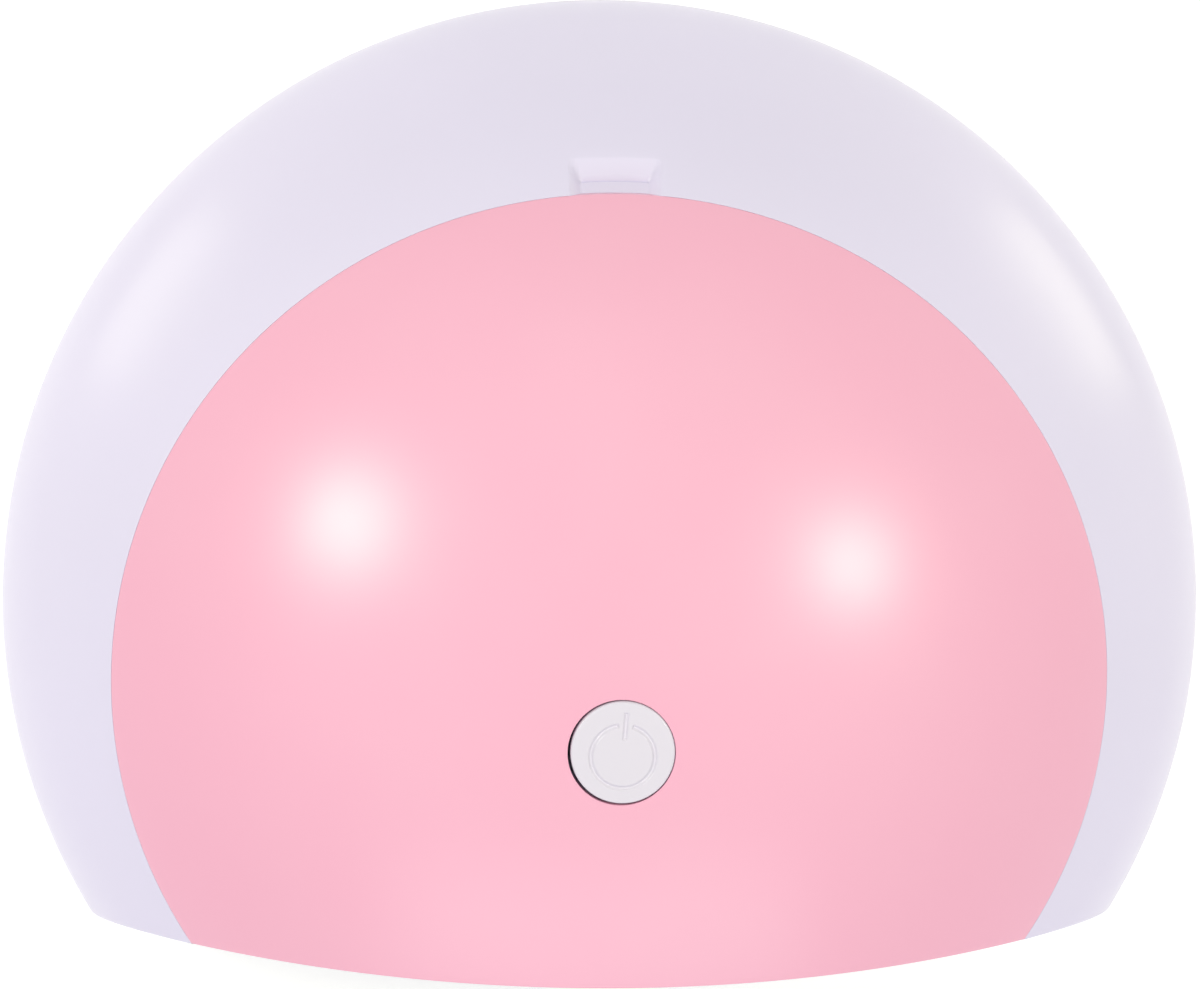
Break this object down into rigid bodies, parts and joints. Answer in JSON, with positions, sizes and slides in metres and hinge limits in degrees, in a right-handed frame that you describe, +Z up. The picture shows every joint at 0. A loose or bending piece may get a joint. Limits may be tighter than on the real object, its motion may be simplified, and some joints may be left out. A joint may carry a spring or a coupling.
{
  "type": "uv nail lamp",
  "caption": "Domed nail lamp with a hand opening in front, a curved faceplate that clips in, a press button on top and a base tray that it lifts off.",
  "frame": {"origin": "on the table, under the centre of the lamp's bounding box", "axes": "+Z up, -Y towards the hand opening, +X to the right of someone who faces the opening from -Y"},
  "size_m": [0.155, 0.125, 0.0594],
  "materials": {
    "shell": "satin white, fine moulded grain",
    "plate": "satin pale pink",
    "button": "satin white, power mark pressed in",
    "reflector": "bright metallised reflector",
    "foil": "bright reflecting sheet",
    "rubber": "soft grey",
    "magnet": "nickel plated",
    "board": "green solder mask",
    "lamp_board": "white solder mask",
    "led": "clear to pale yellow lens",
    "dark_lens": "dark infrared-passing lens",
    "black_plastic": "moulded black",
    "can": "plain can",
    "steel": "bright",
    "wire": "red insulation"
  },
  "bodies": {
    "base": {"base_tray": "shell", "tray_foil": "foil", "tray_magnet_left": "magnet", "tray_magnet_right": "magnet", "foot_1": "rubber", "foot_2": "rubber", "foot_3": "rubber", "foot_4": "rubber"},
    "lamp": {"main_housing": "shell", "base_frame": "shell", "inner_reflector": "reflector", "frame_magnet_left": "magnet", "frame_magnet_right": "magnet", "ceiling_led_board": "lamp_board", "left_led_board": "lamp_board", "right_led_board": "lamp_board", "ceiling_led_1": "led", "ceiling_led_2": "led", "ceiling_led_3": "led", "ceiling_led_4": "led", "ceiling_led_5": "led", "ceiling_led_6": "led", "left_led_1": "led", "left_led_2": "led", "left_led_3": "led", "right_led_1": "led", "right_led_2": "led", "right_led_3": "led", "hand_sensor_emitter": "led", "hand_sensor_receiver": "dark_lens", "control_board": "board", "switch_body": "black_plastic", "controller_chip": "black_plastic", "power_inductor": "black_plastic", "filter_capacitor": "can", "power_board": "board", "usb_socket_shell": "steel", "usb_socket_tongue": "black_plastic", "left_wire_lead": "wire", "right_wire_lead": "wire", "power_wire_lead": "wire", "housing_screw_1": "steel", "housing_screw_2": "steel", "housing_screw_3": "steel", "housing_screw_4": "steel", "led_board_screw_1": "steel", "led_board_screw_2": "steel", "led_board_screw_3": "steel", "led_board_screw_4": "steel", "control_board_screw_1": "steel", "control_board_screw_2": "steel", "power_board_screw_1": "steel", "power_board_screw_2": "steel"},
    "faceplate": {"faceplate": "plate"},
    "button": {"power_button": "button"},
    "plunger": {"switch_plunger": "black_plastic"}
  },
  "joints": [
    {"name": "lamp_lift", "type": "slide", "parent": "base", "child": "lamp", "axis": [0, 0, 1], "range_m": [0, 0.04]},
    {"name": "faceplate_lift", "type": "slide", "parent": "lamp", "child": "faceplate", "axis": [0, -0.1801, 0.9837], "range_m": [0, 0.03]},
    {"name": "button_press", "type": "slide", "parent": "lamp", "child": "button", "axis": [0, 0.1801, -0.9837], "range_m": [0, 0.0008], "stiffness_N_per_m": 1500},
    {"name": "plunger_press", "type": "slide", "parent": "lamp", "child": "plunger", "axis": [0, 0.1801, -0.9837], "range_m": [0, 0.0006]}
  ],
  "couplings": [
    {"joint": "plunger_press", "follows": "button_press", "ratio": 0.6875}
  ]
}
